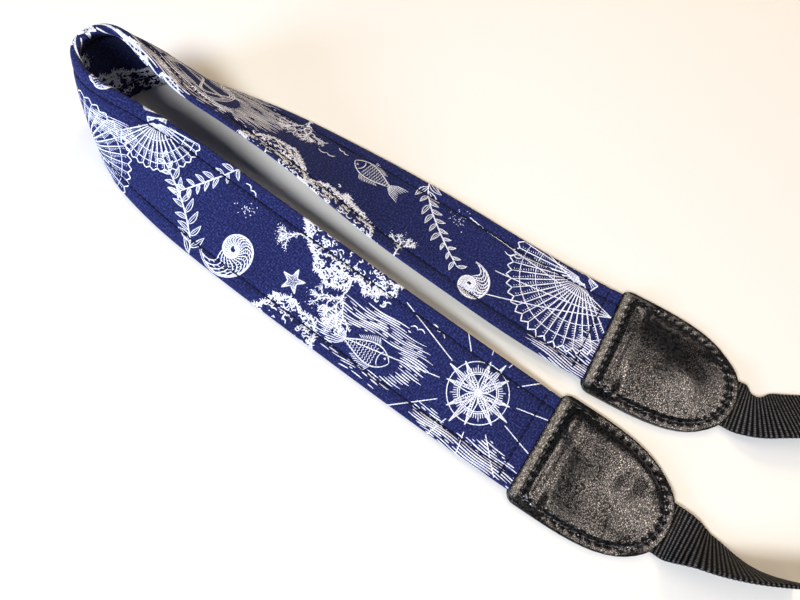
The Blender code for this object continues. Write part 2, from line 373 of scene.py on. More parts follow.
# %% Colours and nodes
def linear(hex_colour):
    """An sRGB hex colour as the linear numbers that the shader wants."""
    parts = [int(hex_colour[k : k + 2], 16) / 255 for k in (1, 3, 5)]
    parts = [c / 12.92 if c <= 0.04045 else ((c + 0.055) / 1.055) ** 2.4 for c in parts]
    return (*parts, 1.0)


def feed(node, **inputs):
    """Fills inputs by name or by _number, with a value, a socket or a node's first output."""
    for key, value in inputs.items():
        socket = node.inputs[int(key[1:]) if key[0] == "_" else key.replace("_", " ")]
        if isinstance(value, bpy.types.Node):
            value = value.outputs[0]
        if isinstance(value, bpy.types.NodeSocket):
            node.id_data.links.new(value, socket)
        else:
            socket.default_value = value


def new_material(name, colour, roughness, **sockets):
    """A material, its one shader with the plain numbers set on it, and its node maker."""
    material = bpy.data.materials.new(name)
    material.use_nodes = True
    material.diffuse_color = linear(colour)
    nodes = material.node_tree.nodes
    shader = nodes["Principled BSDF"]
    feed(shader, Base_Color=linear(colour), Roughness=roughness, **sockets)

    def add(kind, **given):
        """Adds one node. Names in small letters are its properties, the others its inputs."""
        node = nodes.new("ShaderNode" + kind)
        for key in [key for key in given if key[0].islower()]:
            setattr(node, key, given.pop(key))
        feed(node, **given)
        return node

    return material, shader, add


# %% Cotton and its print
WEAVE = 1.25  # mm; real yarns lie 0.45 mm apart, drawn coarser so that they stay visible
PLAIN_GLOSS = 0.08


def yarn_waves(add, flat, bend, reach, pitches):
    """A sine wave across each of two sets of yarns, which a noise bends by its reach."""
    shift = add(
        "VectorMath", operation="MULTIPLY_ADD", _0=bend.outputs["Color"], _1=reach, _2=flat
    )
    parts = add("SeparateXYZ", Vector=shift)
    waves = []
    for axis, pitch in zip("XY", pitches):
        turn = add("Math", operation="MULTIPLY", _0=parts.outputs[axis], _1=pi / pitch)
        waves.append(add("Math", operation="SINE", _0=turn))
    return waves


def cloth_material(name, colour, deep, light, roughness, sheen):
    """Woven cloth: a soft weave bump, painted shade in the gaps and a fleck of lighter yarns."""
    material, shader, add = new_material(
        name, colour, roughness,
        Sheen_Weight=sheen, Sheen_Roughness=0.5, Specular_IOR_Level=PLAIN_GLOSS,
    )
    flat = add("UVMap", uv_map="cloth")
    bend = add("TexNoise", Vector=flat, Scale=0.35, Detail=1.0)
    warp, weft = yarn_waves(add, flat, bend, (0.7, 0.7, 0.7), (WEAVE, WEAVE))
    over = add("Math", operation="MULTIPLY", _0=warp, _1=weft)
    height = add("Math", operation="ABSOLUTE", _0=over)
    yarn = add("TexNoise", Vector=flat, Scale=0.95, Detail=3.0, Roughness=0.65)
    wide = add("TexNoise", Vector=flat, Scale=0.06, Detail=2.0)
    fleck = add("ValToRGB", Fac=yarn)
    stops = fleck.color_ramp.elements
    stops.new(0.52)
    for stop, place, painted_gap_shade in zip(stops, (0.36, 0.52, 0.68), (deep, colour, light)):
        stop.position = place
        stop.color = linear(painted_gap_shade)
    # The low places between the yarns are darkened here: painted shade.
    painted_weave_shade = add("MapRange", Value=height, From_Max=0.5, To_Min=0.66, To_Max=1.08)
    patchy_amount = add("MapRange", Value=wide, From_Min=0.3, From_Max=0.7, To_Min=0.92, To_Max=1.08)
    shade_and_patches = add("Math", operation="MULTIPLY", _0=painted_weave_shade, _1=patchy_amount)
    final = add("VectorMath", operation="SCALE", Vector=fleck, Scale=shade_and_patches)
    mixed = add("Math", operation="MULTIPLY_ADD", _0=yarn, _1=0.7, _2=height)
    bump = add("Bump", Strength=0.6, Distance=0.12 * MM, Height=mixed)
    feed(shader, Base_Color=final, Normal=bump)
    return material


# The ground is a deep royal blue; a little sheen gives the dusty bloom of brushed cotton.
cotton = cloth_material("woven cotton, dyed blue", "#1e2555", "#121639", "#383f76", 0.9, 0.03)
# Pigment sits on the yarns, so it shows the same weave with painted shade in the gaps, and some
# of its yarns are a touch bluish.
ink = cloth_material(
    "white pigment print on cotton", "#e3e7f2", "#c3cae2", "#f4f6fb", 0.85, 0.0
)


# %% Thread
def plain_thread(name, colour, roughness, gloss):
    """Twisted thread: fine slanting ridges along each stitch."""
    material, shader, add = new_material(name, colour, roughness, Specular_IOR_Level=gloss)
    place = add("TexCoord").outputs["Object"]
    ply = add(
        "TexWave", bands_direction="DIAGONAL", Vector=place, Scale=1200.0, Distortion=1.0
    )
    bump = add("Bump", Strength=0.5, Distance=0.08 * MM, Height=ply.outputs["Fac"])
    feed(shader, Normal=bump)
    return material


# Spun thread is dull and a shade darker than the cloth; waxed thread catches the light.
thread = plain_thread("spun polyester thread, navy", "#0e1126", 0.8, 0.1)
leather_thread = plain_thread("waxed thread, black", "#0c0c0e", 0.3, 0.8)


# %% Leather
GRAIN = 0.85  # mm; real pebbles are 0.7 mm, drawn a little coarser so that they stay visible
# The pale grey of a painted reflection on the strip by each tab's straight edge.
REFLECTION_PAINT = "#aaa498"
POLISH = 0.03  # how far the roughness wanders to both sides


def pebbled_leather(name, colour, light, roughness):
    """Embossed cowhide: pebbles with painted shade in the gaps, on a softly uneven polish."""
    material, shader, add = new_material(name, colour, roughness)
    place = add("TexCoord").outputs["Object"]
    flat = add("Mapping", Vector=place, Scale=(1 / MM,) * 3)
    bend = add("TexNoise", Vector=flat, Scale=0.45, Detail=1.0).outputs["Color"]
    shift = add("VectorMath", operation="MULTIPLY_ADD", _0=bend, _1=(2.4,) * 3, _2=flat)
    cells = add(
        "TexVoronoi", feature="DISTANCE_TO_EDGE",
        Vector=shift, Scale=1 / GRAIN, Randomness=0.9,
    )
    pebble = add(
        "MapRange", interpolation_type="SMOOTHSTEP",
        Value=cells, From_Min=0.03, From_Max=0.40,
    )
    fine = add("TexNoise", Vector=flat, Scale=0.9, Detail=2.0, Roughness=0.6)
    mixed = add("Math", operation="MULTIPLY_ADD", _0=fine, _1=0.8, _2=pebble)
    bump = add("Bump", Strength=1.0, Distance=0.02 * MM, Height=mixed)
    gleam = add("MapRange", Value=pebble, To_Min=0.05, To_Max=1.0)
    # The gaps between pebbles are darker and the pebble tops lighter: painted shade.
    painted_gap_shade = add(
        "Mix", data_type="RGBA", Factor=pebble, _6=linear(colour), _7=linear(light)
    )
    # A paler strip by the straight edge is a painted reflection, broken up by the grain.
    reflection_mask = add("Attribute", attribute_name="reflection_mask").outputs["Fac"]
    uneven = add("MapRange", Value=mixed, From_Min=0.3, From_Max=1.3, To_Min=0.1)
    patchy_amount = add("Math", operation="MULTIPLY", _0=reflection_mask, _1=uneven)
    painted_reflection = add(
        "Mix", data_type="RGBA", Factor=patchy_amount, _6=painted_gap_shade.outputs[2], _7=linear(REFLECTION_PAINT)
    )
    wide = add("TexNoise", Vector=flat, Scale=0.07, Detail=2.0)
    polish = add(
        "MapRange", Value=wide, From_Min=0.3, From_Max=0.7,
        To_Min=roughness - POLISH, To_Max=roughness + POLISH,
    )
    feed(shader, Base_Color=painted_reflection.outputs[2], Roughness=polish, Normal=bump)
    feed(shader, Specular_IOR_Level=gleam)
    return material


# Black dye is never quite black on leather: a warm dark grey, with painted shade in the gaps
# between pebbles and a grain that glints.
leather = pebbled_leather("pebbled cowhide, dyed black", "#030303", "#1c1a19", 0.27)


# %% Webbing
RIB_MM = 1.7  # mm from rib to rib
BEAD_MM = 1.05  # mm from one long yarn to the next where it crosses a rib


def ribbed_webbing(name, colour, light, roughness):
    """Nylon webbing: the long yarns are beads on the ribs, painted bright, and the gaps are
    painted black as shade.
    """
    material, shader, add = new_material(name, colour, roughness, Specular_IOR_Level=0.06)
    flat = add("UVMap", uv_map="cloth")
    speck = add("TexNoise", Vector=flat, Scale=0.9, Detail=2.0)
    waves = yarn_waves(add, flat, speck, (0.0, 0.9, 0.0), (RIB_MM, BEAD_MM))
    ribs, beads = [add("Math", operation="ABSOLUTE", _0=wave) for wave in waves]
    rib = add("Math", operation="POWER", _0=ribs, _1=4.5)
    bead = add("MapRange", Value=beads, To_Min=0.08, To_Max=1.15)
    # Bead tops are painted lighter and the gaps black: painted light and shade.
    painted_crest_light = add("Math", operation="MULTIPLY", _0=rib, _1=bead)
    bump = add("Bump", Strength=0.7, Distance=0.15 * MM, Height=beads)
    uneven = add("MapRange", Value=speck, From_Min=0.35, From_Max=0.65, To_Min=0.35)
    patchy_amount = add("Math", operation="MULTIPLY", _0=painted_crest_light, _1=uneven)
    painted_gap_shade = add(
        "Mix", data_type="RGBA", Factor=patchy_amount, _6=linear(colour), _7=linear(light)
    )
    feed(shader, Base_Color=painted_gap_shade.outputs[2], Normal=bump)
    return material


# Painted light and shade: the gaps between the ribs are black, and only the tops of the beads are
# painted grey.
webbing_look = ribbed_webbing("ribbed nylon webbing, black", "#020202", "#646464", 0.6)

# %% [markdown]
# ## The padded band
# A maker cuts one piece of printed cloth, wraps it round the filling and topstitches
# both long edges. The same is done here: a flat grid is the cloth, its UV map is drawn
# on it while it is flat, and then it is wrapped round the band's section.

# %% The band's section
CLOTH_STEP = 0.8 * MM
BAND_AROUND = 118  # steps of the cloth round the girth
EDGE_ROUND = 1.2 * MM
# Share of the half width, and of the half thickness that the padding has there.
PADDING = (
    (0.00, 1.00),
    (0.50, 1.00),
    (0.62, 0.93),
    (0.72, 0.80),
    (0.82, 0.84),
    (0.952, 0.80),
)
SIDE_STEPS, TURN_STEPS = 120, 25


def closed_section(width, edge, height_at):
    """A strip's outline as (way round, y, z, normal y, normal z), from underneath."""
    half = width / 2 - edge
    side = np.linspace(0, half, SIDE_STEPS)
    turn = np.linspace(0, pi, TURN_STEPS)[1:-1]
    top_y = np.concatenate([-side[::-1], side[1:]])
    right_y = half + edge * np.sin(turn)
    right_z = edge * np.cos(turn)
    low_z = -height_at(side)
    y = np.concatenate([-side, -right_y[::-1], top_y, right_y, side[::-1]])
    z = np.concatenate([low_z, -right_z, height_at(np.abs(top_y)), right_z, low_z[::-1]])
    way = way_along(np.stack([y, z], 1))
    tangent = unit(np.stack([np.gradient(y, way), np.gradient(z, way)], 1))
    return np.stack([way - way[-1] / 2, y, z, -tangent[:, 1], tangent[:, 0]], 1)


def band_half_thickness(y):
    """The padding is full in the middle and pressed flat along both seams."""
    shares = np.interp(y / (BAND_WIDTH / 2), *np.array(PADDING).T)
    return np.maximum(shares * BAND_THICKNESS / 2, EDGE_ROUND)


band_section = closed_section(BAND_WIDTH, EDGE_ROUND, band_half_thickness)
BAND_GIRTH = band_section[-1, 0] - band_section[0, 0]
print("band girth in mm", round(BAND_GIRTH / MM, 2))


# %% The band's relief
STITCH_LINE = 18 * MM  # from the middle of the band to its seams
BAND_STITCH = 3.2 * MM
CROSS_SEAM = 6.5 * MM  # from the mouth of a tab to the seam across the band
# Each pair is a height and how wide it reaches.
CROSS_GROOVE = (-0.30 * MM, 0.8 * MM)
SEAM_GROOVE = (-0.70 * MM, 1.15 * MM)
SEAM_PUCKER = (0.18 * MM, 1.7 * MM)
SLACK = 0.16 * MM
CALM_EDGE = 6 * MM
CALM_END = 14 * MM


def band_relief(x, y, top):
    """How far the cloth stands in or out: seam grooves, puckers and slack."""
    from_end = np.minimum(np.abs(x - CROSS_SEAM), np.abs(BAND_LENGTH - CROSS_SEAM - x))
    cross = swell(from_end, *CROSS_GROOVE) * top
    from_seam = np.abs(np.abs(y) - STITCH_LINE)
    groove = swell(from_seam, *SEAM_GROOVE)
    pucker = swell(from_seam, *SEAM_PUCKER) * np.cos(2 * pi * x / BAND_STITCH)
    slack = SLACK * soft_waves(x, y * 0.7, 3, 46 * MM, 14 * MM)
    slack *= soft_step((BAND_WIDTH / 2 - np.abs(y)) / CALM_EDGE) * top
    inside = soft_step(x / CALM_END) * soft_step((BAND_LENGTH - x) / CALM_END)
    return groove + cross + (pucker + slack) * inside


def wrap_cloth(cloth, section, relief, lift=0.0):
    """Wraps flat cloth (x along, y round the girth) into a flat strip."""
    x = cloth[:, 0]
    y, z, out_y, out_z = read_line(section[:, 1:], section[:, 0], cloth[:, 1]).T
    out_y, out_z = unit(np.stack([out_y, out_z], 1)).T
    stand = relief(x, y, (z > 0) * 1.0) + lift
    return np.stack([x, y + out_y * stand, z + out_z * stand], 1)


# %% Flat cloth and a closed tube
def mark_flat(bm, name="cloth"):
    """Keeps where each point lies on the flat cloth, in mm, as a UV map."""
    layer = bm.loops.layers.uv.new(name)
    for face in bm.faces:
        for loop in face.loops:
            loop[layer].uv = loop.vert.co.xy / MM


def flat_cloth(start, end, girth, steps, around):
    """A flat grid of cloth with its UV map already on it."""
    bm = bmesh.new()
    bmesh.ops.create_grid(bm, x_segments=steps, y_segments=around, size=0.5)
    bmesh.ops.scale(bm, vec=(end - start, girth, 1), verts=bm.verts)
    bmesh.ops.translate(bm, vec=((start + end) / 2, 0, 0), verts=bm.verts)
    mark_flat(bm)
    return bm


MERGE = 0.01 * MM


def close_tube(bm):
    """Joins the cloth's two long edges and closes its ends."""
    seam = [vert for vert in bm.verts if vert.is_boundary]
    bmesh.ops.remove_doubles(bm, verts=seam, dist=MERGE)
    bmesh.ops.holes_fill(bm, edges=[edge for edge in bm.edges if edge.is_boundary], sides=0)
    bmesh.ops.recalc_face_normals(bm, faces=bm.faces)


# %% Make the band
def make_band():
    """The cloth is wrapped, laid in its fold and only then closed."""
    start = -BAND_TUCKED_IN
    end = BAND_LENGTH + BAND_TUCKED_IN
    steps = round((end - start) / CLOTH_STEP)
    bm = flat_cloth(start, end, BAND_GIRTH, steps, BAND_AROUND)
    strip = wrap_cloth(points_of(bm), band_section, band_relief)
    put_points(bm, lay_in_fold(strip, band_route))
    close_tube(bm)
    return finish_piece("cotton_band", bm, cotton, ["fabric_band"])


band = make_band()

# %% [markdown]
# ## The printed design
# White pigment is printed on the blue cloth in the style of an old engraving: only
# lines, no areas. It could be painted by nodes, but real strokes stay crisp from near.
# Each line here is one stroke of a pen with a pressure, so it swells and fades like an
# engraved line. The motifs are sea plants, shells, fish, compass roses and hatched
# water, drawn flat in mm: u along the band, v across it.

# %% A pen
strokes = []
rng = np.random.default_rng(20)
PEN_STEP = 0.9  # mm between a stroke's points
SHORTEST = 0.05  # mm; shorter strokes are left out


def pen(line, width, ends=0.45):
    """Draws one stroke: a line of points, the pen's width and its pressure at the ends."""
    line = np.asarray(line, float)
    way = way_along(line)
    if way[-1] < SHORTEST:
        return
    at = np.linspace(0, way[-1], max(2, int(way[-1] / PEN_STEP) + 1))
    press = ends + (1 - ends) * np.sin(pi * np.clip(at / way[-1], 0, 1)).clip(0) ** 0.6
    strokes.append((read_line(line, way, at), press * width))


def turned(line, place, angle, size=1.0):
    """Moves a small drawing to its place, turned by an angle in degrees."""
    c, s = cos(radians(angle)), sin(radians(angle))
    return np.asarray(line, float) @ np.array([[c, s], [-s, c]]) * size + np.asarray(place)


def stamp(place, angle, size, mirror=1):
    """A pen that draws the lines of one small drawing at its place."""
    def put(line, width, ends=0.45):
        pen(turned(np.asarray(line) * [mirror, 1], place, angle, size), width, ends)

    return put


def arc(radius, first, last, place, squeeze, count):
    """Part of a circle or of a squeezed circle, angles in degrees."""
    angle = np.radians(np.linspace(first, last, count))
    x = place[0] + radius * np.cos(angle)
    return np.stack([x, place[1] + radius * squeeze * np.sin(angle)], 1)


def facing(degrees):
    """A direction on the flat cloth."""
    return np.array([cos(radians(degrees)), sin(radians(degrees))])


def left_of(way):
    """The direction to the left of another."""
    return np.array([-way[1], way[0]])


# %% Natural lines
def ragged(line, rough, levels=4):
    """Breaks a line into smaller and smaller random bends, like a natural edge."""
    line = np.asarray(line, float)
    for _ in range(levels):
        span = np.diff(line, axis=0)
        middle = line[:-1] + span / 2
        middle += np.stack([-span[:, 1], span[:, 0]], 1) * rng.normal(0, rough, (len(span), 1))
        longer = np.empty((len(line) + len(middle), 2))
        longer[::2] = line
        longer[1::2] = middle
        line = longer
    return line


def walk(line, way, at, step):
    """The place at a distance along a line, and the way on from there for a step."""
    here = read_line(line, way, at)
    return here, read_line(line, way, at + step) - here


def hair(line, length, spacing, sides=(-1, 1), lean=0.5, width=0.4):
    """Short strokes that leave a line on its sides."""
    way = way_along(line)
    for at in np.arange(spacing / 2, way[-1], spacing):
        at += rng.normal(0, spacing * 0.25)
        here, ahead = walk(line, way, at, 0.3)
        norm = np.linalg.norm(ahead)
        if norm < 1e-6:
            continue
        ahead /= norm
        side = left_of(ahead) * rng.choice(sides)
        tip = side * length * rng.uniform(0.4, 1.1) + ahead * length * lean * rng.normal(0.4, 0.6)
        pen([here, here + tip * 0.55 + rng.normal(0, 0.12, 2), here + tip], width, 0.5)


# %% Water, dots and small animals
def water(place, half_u, half_v, tilt=3.0, clear=(), seed=1):
    """A patch of hatched water: wavy broken lines inside a ragged oval."""
    phase = np.random.default_rng(seed).uniform(0, 6, 4)
    u = np.arange(-half_u, half_u, 0.9)
    for v in np.arange(-half_v, half_v, 1.1):
        wave = 0.45 * np.sin(u / 4.3 + phase[0] + v * 0.25)
        wave += 0.7 * np.sin(u / 13 + phase[1] + v * 0.12)
        line = turned(np.stack([u, v + wave], 1), place, tilt)
        edge = (u / half_u) ** 2 + (v / half_v) ** 2
        edge += 0.16 * np.sin(v * 1.9 + phase[2]) + 0.1 * np.sin(u * 0.7 + v * 3 + phase[3])
        keep = (edge < 0.95) & (rng.random(len(u)) > 0.04)
        for cu, cv, size in clear:
            keep &= np.hypot(line[:, 0] - cu, line[:, 1] - cv) > size
        cuts = np.flatnonzero(np.diff(np.concatenate([[0], keep.astype(int), [0]])))
        for first, last in zip(cuts[::2], cuts[1::2]):
            if last - first > 2:
                pen(line[first:last], 0.52 * rng.uniform(0.75, 1.35), 0.3)


def dots(places, size=0.5):
    """Each dot is a very short stroke in a direction of its own."""
    for place in places:
        turn = rng.uniform(0, pi)
        step = np.array([cos(turn), sin(turn)]) * size * 0.42
        pen([place - step, place + step], size * rng.uniform(0.7, 1.2), 0.9)


def gull(place, size, angle):
    """Two bent wings."""
    for mirror in (-1, 1):
        put = stamp(place, angle, size, mirror)
        put([[0, 0], [0.25, 0.28], [0.6, 0.3], [1.0, 0.02]], 0.62, 0.35)


def fish(place, length, angle):
    """A plump fish with scales, fins and a forked tail."""
    put = stamp(place, angle, length)
    t = np.linspace(0, 1, 26)
    back = 0.24 * np.sin(pi * t**0.75) * (1 - 0.25 * t)
    for sign in (-1, 1):
        put(np.stack([t, sign * back], 1), 0.62)
    for x in np.arange(0.3, 0.93, 0.062):
        tall = 0.24 * sin(pi * x**0.75) * (1 - 0.25 * x) * 0.86
        for y in np.arange(-tall, tall, 0.062):
            put(arc(0.036, -80, 80, (x, y), 1.0, 5), 0.3, 0.8)
    put(arc(0.12, -62, 62, (0.13, 0), 1.4, 9), 0.5)
    put(arc(0.022, 0, 350, (0.11, 0.045), 1, 9), 0.5)
    for lift in np.linspace(-0.21, 0.21, 9):
        put([(0.97, lift * 0.25), (1.1, lift * 0.75), (1.24 + abs(lift) * 0.5, lift)], 0.4)
    for x in np.linspace(0.3, 0.68, 11):
        tall = 0.235 * sin(pi * x**0.75)
        for sign in (-1, 1):
            put([(x, sign * tall), (x + 0.09, sign * (tall + 0.09 + 0.05 * sin(x * 7)))], 0.34)


def starfish(place, size, angle):
    """A five-pointed rim, and a ridge of dots along each arm."""
    rim = [facing(angle + 36 * k) * size * (1.0, 0.36)[k % 2] for k in range(11)]
    pen(np.array(rim) + place, 0.6, 0.9)
    for k in range(5):
        way = facing(angle + 72 * k)
        pen([np.array(place), place + way * size * 0.86], 0.36)
        for share in np.linspace(0.2, 0.75, 6):
            side = left_of(way) * (size * 0.14 * (1 - share))
            dots([place + way * size * share + side, place + way * size * share - side], 0.42)


# %% Shells
def scallop(place, radius, angle, ribs=15):
    """A fan shell: ribs, a scalloped rim, growth lines and shade made of short dashes."""
    spread = np.linspace(-66, 66, ribs + 1)
    place = np.asarray(place, float)

    def at(share, turn):
        reach = radius * share * (1 + 0.10 * cos(radians(turn * 1.3)))
        return place + reach * facing(angle + turn)

    for turn in spread:
        pen([at(0.10, turn * 0.5), at(0.45, turn * 0.93), at(0.97, turn)], 0.62, 0.35)
    for left, right in zip(spread[:-1], spread[1:]):
        middle = (left + right) / 2
        pen([at(0.965, left), at(1.03, middle), at(0.965, right)], 0.62, 0.9)
        for share in np.arange(0.30, 0.94, 0.030):
            reach = 0.5 - 0.36 * abs(sin(share * 9.0)) - 0.05 * rng.random()
            first = left + (right - left) * 0.16
            last = left + (right - left) * (0.16 + reach)
            pen([at(share, first), at(share + 0.006, last)], 0.36, 0.8)
    for share in (0.42, 0.66, 0.86):
        pen([at(share, turn) for turn in np.linspace(-66, 66, 30)], 0.42, 0.6)
    ears = ((0.20, -66), (0.21, -100), (0.04, -120), (0.04, 120), (0.21, 100), (0.20, 66))
    pen([at(share, turn) for share, turn in ears], 0.62, 0.9)
    for turn in (-95, -84, -74, 74, 84, 95):
        pen([at(0.05, turn), at(0.19, turn)], 0.4)


def nautilus(place, radius, angle, mirror=1):
    """A spiral shell, cut so that its chambers show."""
    growth = 0.185
    last = 4.7 * pi

    def at(theta, share=1.0):
        reach = radius * np.exp(growth * (theta - last)) * share
        x = reach * np.cos(theta)
        return turned(np.stack([x, reach * np.sin(theta) * mirror], -1), place, angle)

    for shift in (1.0, 0.955):
        pen(at(np.linspace(0.3 * pi, last, 170), shift), 0.55, 0.5)
    inner = np.exp(-growth * 2 * pi)
    share = np.linspace(inner, 0.97, 9)
    for number, t in enumerate(np.arange(last, 1.4 * pi, -0.27)):
        bend = t - 0.5 * np.sin(pi * (share - inner) / (1 - inner))
        pen(at(bend, share), 0.55, 0.7)
        for k in np.linspace(0.15, 0.9, 6):
            first = inner + (1 - inner) * k
            turn = t - 0.5 * sin(pi * k)
            pen(at(np.array([turn, turn - 0.11 - 0.06 * (number % 2)]), first), 0.36, 0.8)


# %% Sea plants
def coral(place, angle, length, width=1.0, depth=4):
    """A branching twig with short hair; each branch splits into two or three."""
    place = np.asarray(place, float)
    tip = place + length * facing(angle)
    stem = ragged([place, tip], 0.10, 3)
    for shift in (-0.16, 0.16):
        side = left_of(facing(angle)) * shift * width
        pen(stem + side + rng.normal(0, 0.05, stem.shape), 0.42 * width + 0.12, 0.7)
    hair(stem, 1.3 + 0.25 * depth, 1.05, lean=0.9, width=0.38)
    if depth <= 0:
        dots(tip + rng.normal(0, 0.9, (3, 2)), 0.45)
        return
    for spread in rng.permutation([-34, 6, 38])[: rng.integers(2, 4)]:
        bend = angle + spread + rng.normal(0, 9)
        coral(tip, bend, length * rng.uniform(0.62, 0.86), width * 0.82, depth - 1)


def kelp(line, leaf=9.0, spacing=3.1):
    """A long weed with pointed leaves that carry a vein."""
    way = way_along(line)
    pen(line, 0.75, 0.5)
    for number, at in enumerate(np.arange(2, way[-1], spacing)):
        here, ahead = walk(line, way, at, 0.5)
        base = np.degrees(np.arctan2(ahead[1], ahead[0]))
        turn = base + (52 if number % 2 else -52) + rng.normal(0, 8)
        put = stamp(here, turn, leaf * rng.uniform(0.75, 1.15) * (1 - 0.45 * at / way[-1]))
        t = np.linspace(0, 1, 10)
        for sign in (-1, 1):
            edge = sign * 0.15 * np.sin(pi * t**0.8) + 0.07 * np.sin(3 * t)
            put(np.stack([t, edge], 1), 0.46, 0.5)
        put([(0, 0), (0.4, 0.05), (0.85, 0.05)], 0.32, 0.5)


def reef(line, height, side):
    """A reef's edge: tangled rounded growths on one side of a line, hatched below."""
    shore = ragged(line, 0.16, 5)
    way = way_along(shore)
    pen(shore, 1.0, 0.7)
    hair(shore, 2.2, 0.6, (-side,), 0.35, 0.46)
    straight = way[-1] * 0.72
    for _ in range(int(straight * height * 0.42)):
        here, ahead = walk(shore, way, rng.random() * way[-1], 2.5)
        out = left_of(ahead) / max(np.linalg.norm(ahead), 1e-6) * side
        place = here + out * height * rng.random() ** 1.5 + rng.normal(0, 0.5, 2)
        kind = rng.random()
        if kind < 0.45:
            first = rng.uniform(0, 360)
            lobe = arc(rng.uniform(0.6, 1.7), first, first + rng.uniform(130, 300), place, 0.8, 9)
            pen(lobe, rng.uniform(0.45, 0.85), 0.7)
        elif kind < 0.85:
            end = place + rng.normal(0, 1.5, 2)
            pen(ragged([place, end], 0.3, 2), rng.uniform(0.45, 0.9), 0.5)
        else:
            dots([place], 0.6)


# %% Compass rose and anchor
def compass(place, radius, angle, rays=()):
    """A wind rose: pointed stars with one hatched half each, rings and long rays."""
    for count, size, wide, offset, gap in ((8, 1.0, 0.20, 22.5, 0.07), (4, 1.18, 0.24, 0, 0.045)):
        for k in range(count):
            put = stamp(place, angle + 360 / count * k + offset, radius)
            for sign in (-1, 1):
                put([(0, 0), (0.30, sign * wide / 2), (size, 0)], 0.5, 0.9)
            put([(0, 0), (size, 0)], 0.42, 0.9)
            for share in np.arange(0.10, 0.95, gap):
                tall = wide / 2 * min(share / 0.30, (1 - share) / 0.70 + 0.04)
                put([(share * size, 0), (share * size, tall)], 0.42, 0.9)
    for share in (0.55, 0.60, 0.92):
        pen(arc(radius * share, 0, 360, place, 1, 70), 0.45, 1)
    for k in range(64):
        long = 0.74 if k % 4 else 0.82
        stamp(place, angle + k * 5.625, radius)([(0.60, 0), (long, 0)], 0.36, 0.9)
    for turn, reach in rays:
        stamp(place, turn, radius)([(1.2, 0), (reach, 0)], 0.5, 0.85)


def anchor(place, size, angle):
    """An anchor with a ring, a wooden stock and a rope that winds round it."""
    put = stamp(place, angle, size)
    for shift in (-0.022, 0.0, 0.022):
        put([(-0.42, shift), (0.36, shift)], 0.5, 0.8)
    put(arc(0.07, 0, 360, (-0.50, 0), 1, 20), 0.75, 1)
    for edge in np.linspace(-0.03, 0.03, 4):
        put([(-0.36 + edge, -0.30), (-0.37 + edge * 1.6, 0), (-0.36 + edge, 0.30)], 0.42, 0.8)
    for grow in (0.0, 0.03, 0.06):
        put(arc(0.40 - grow, -68, 68, (0.02, 0), 1, 26), 0.5, 0.8)
    for sign in (-1, 1):
        tip = np.array([0.17, sign * 0.37])
        put([tip, tip + (-0.16, sign * 0.03), tip + (-0.05, -sign * 0.12), tip], 0.6, 0.8)
        for share in np.linspace(0.15, 0.8, 5):
            first = tip + np.array((-0.14, 0.02 * sign)) * share
            put([first, tip + np.array((-0.05, -sign * 0.1)) * share], 0.4, 0.8)
    t = np.linspace(0, 1, 60)
    rope = np.stack([-0.52 + 0.98 * t, 0.17 * np.sin(t * 11 + 0.4) * (0.4 + t)], 1)
    for shift in (-0.02, 0.02):
        put(rope + (0, shift), 0.42, 0.8)
    for place_on_rope in rope[2:58]:
        put([place_on_rope + (-0.008, -0.02), place_on_rope + (0.012, 0.02)], 0.32, 0.9)


# %% Draw the face of the band
def curve_line(u_from, u_to, v_from, v_to, bend=1.5):
    """A line from one edge towards the other that starts steep and levels out."""
    t = np.linspace(0, 1, 40)
    return np.stack([u_from + (u_to - u_from) * t, v_from + (v_to - v_from) * t ** (1 / bend)], 1)


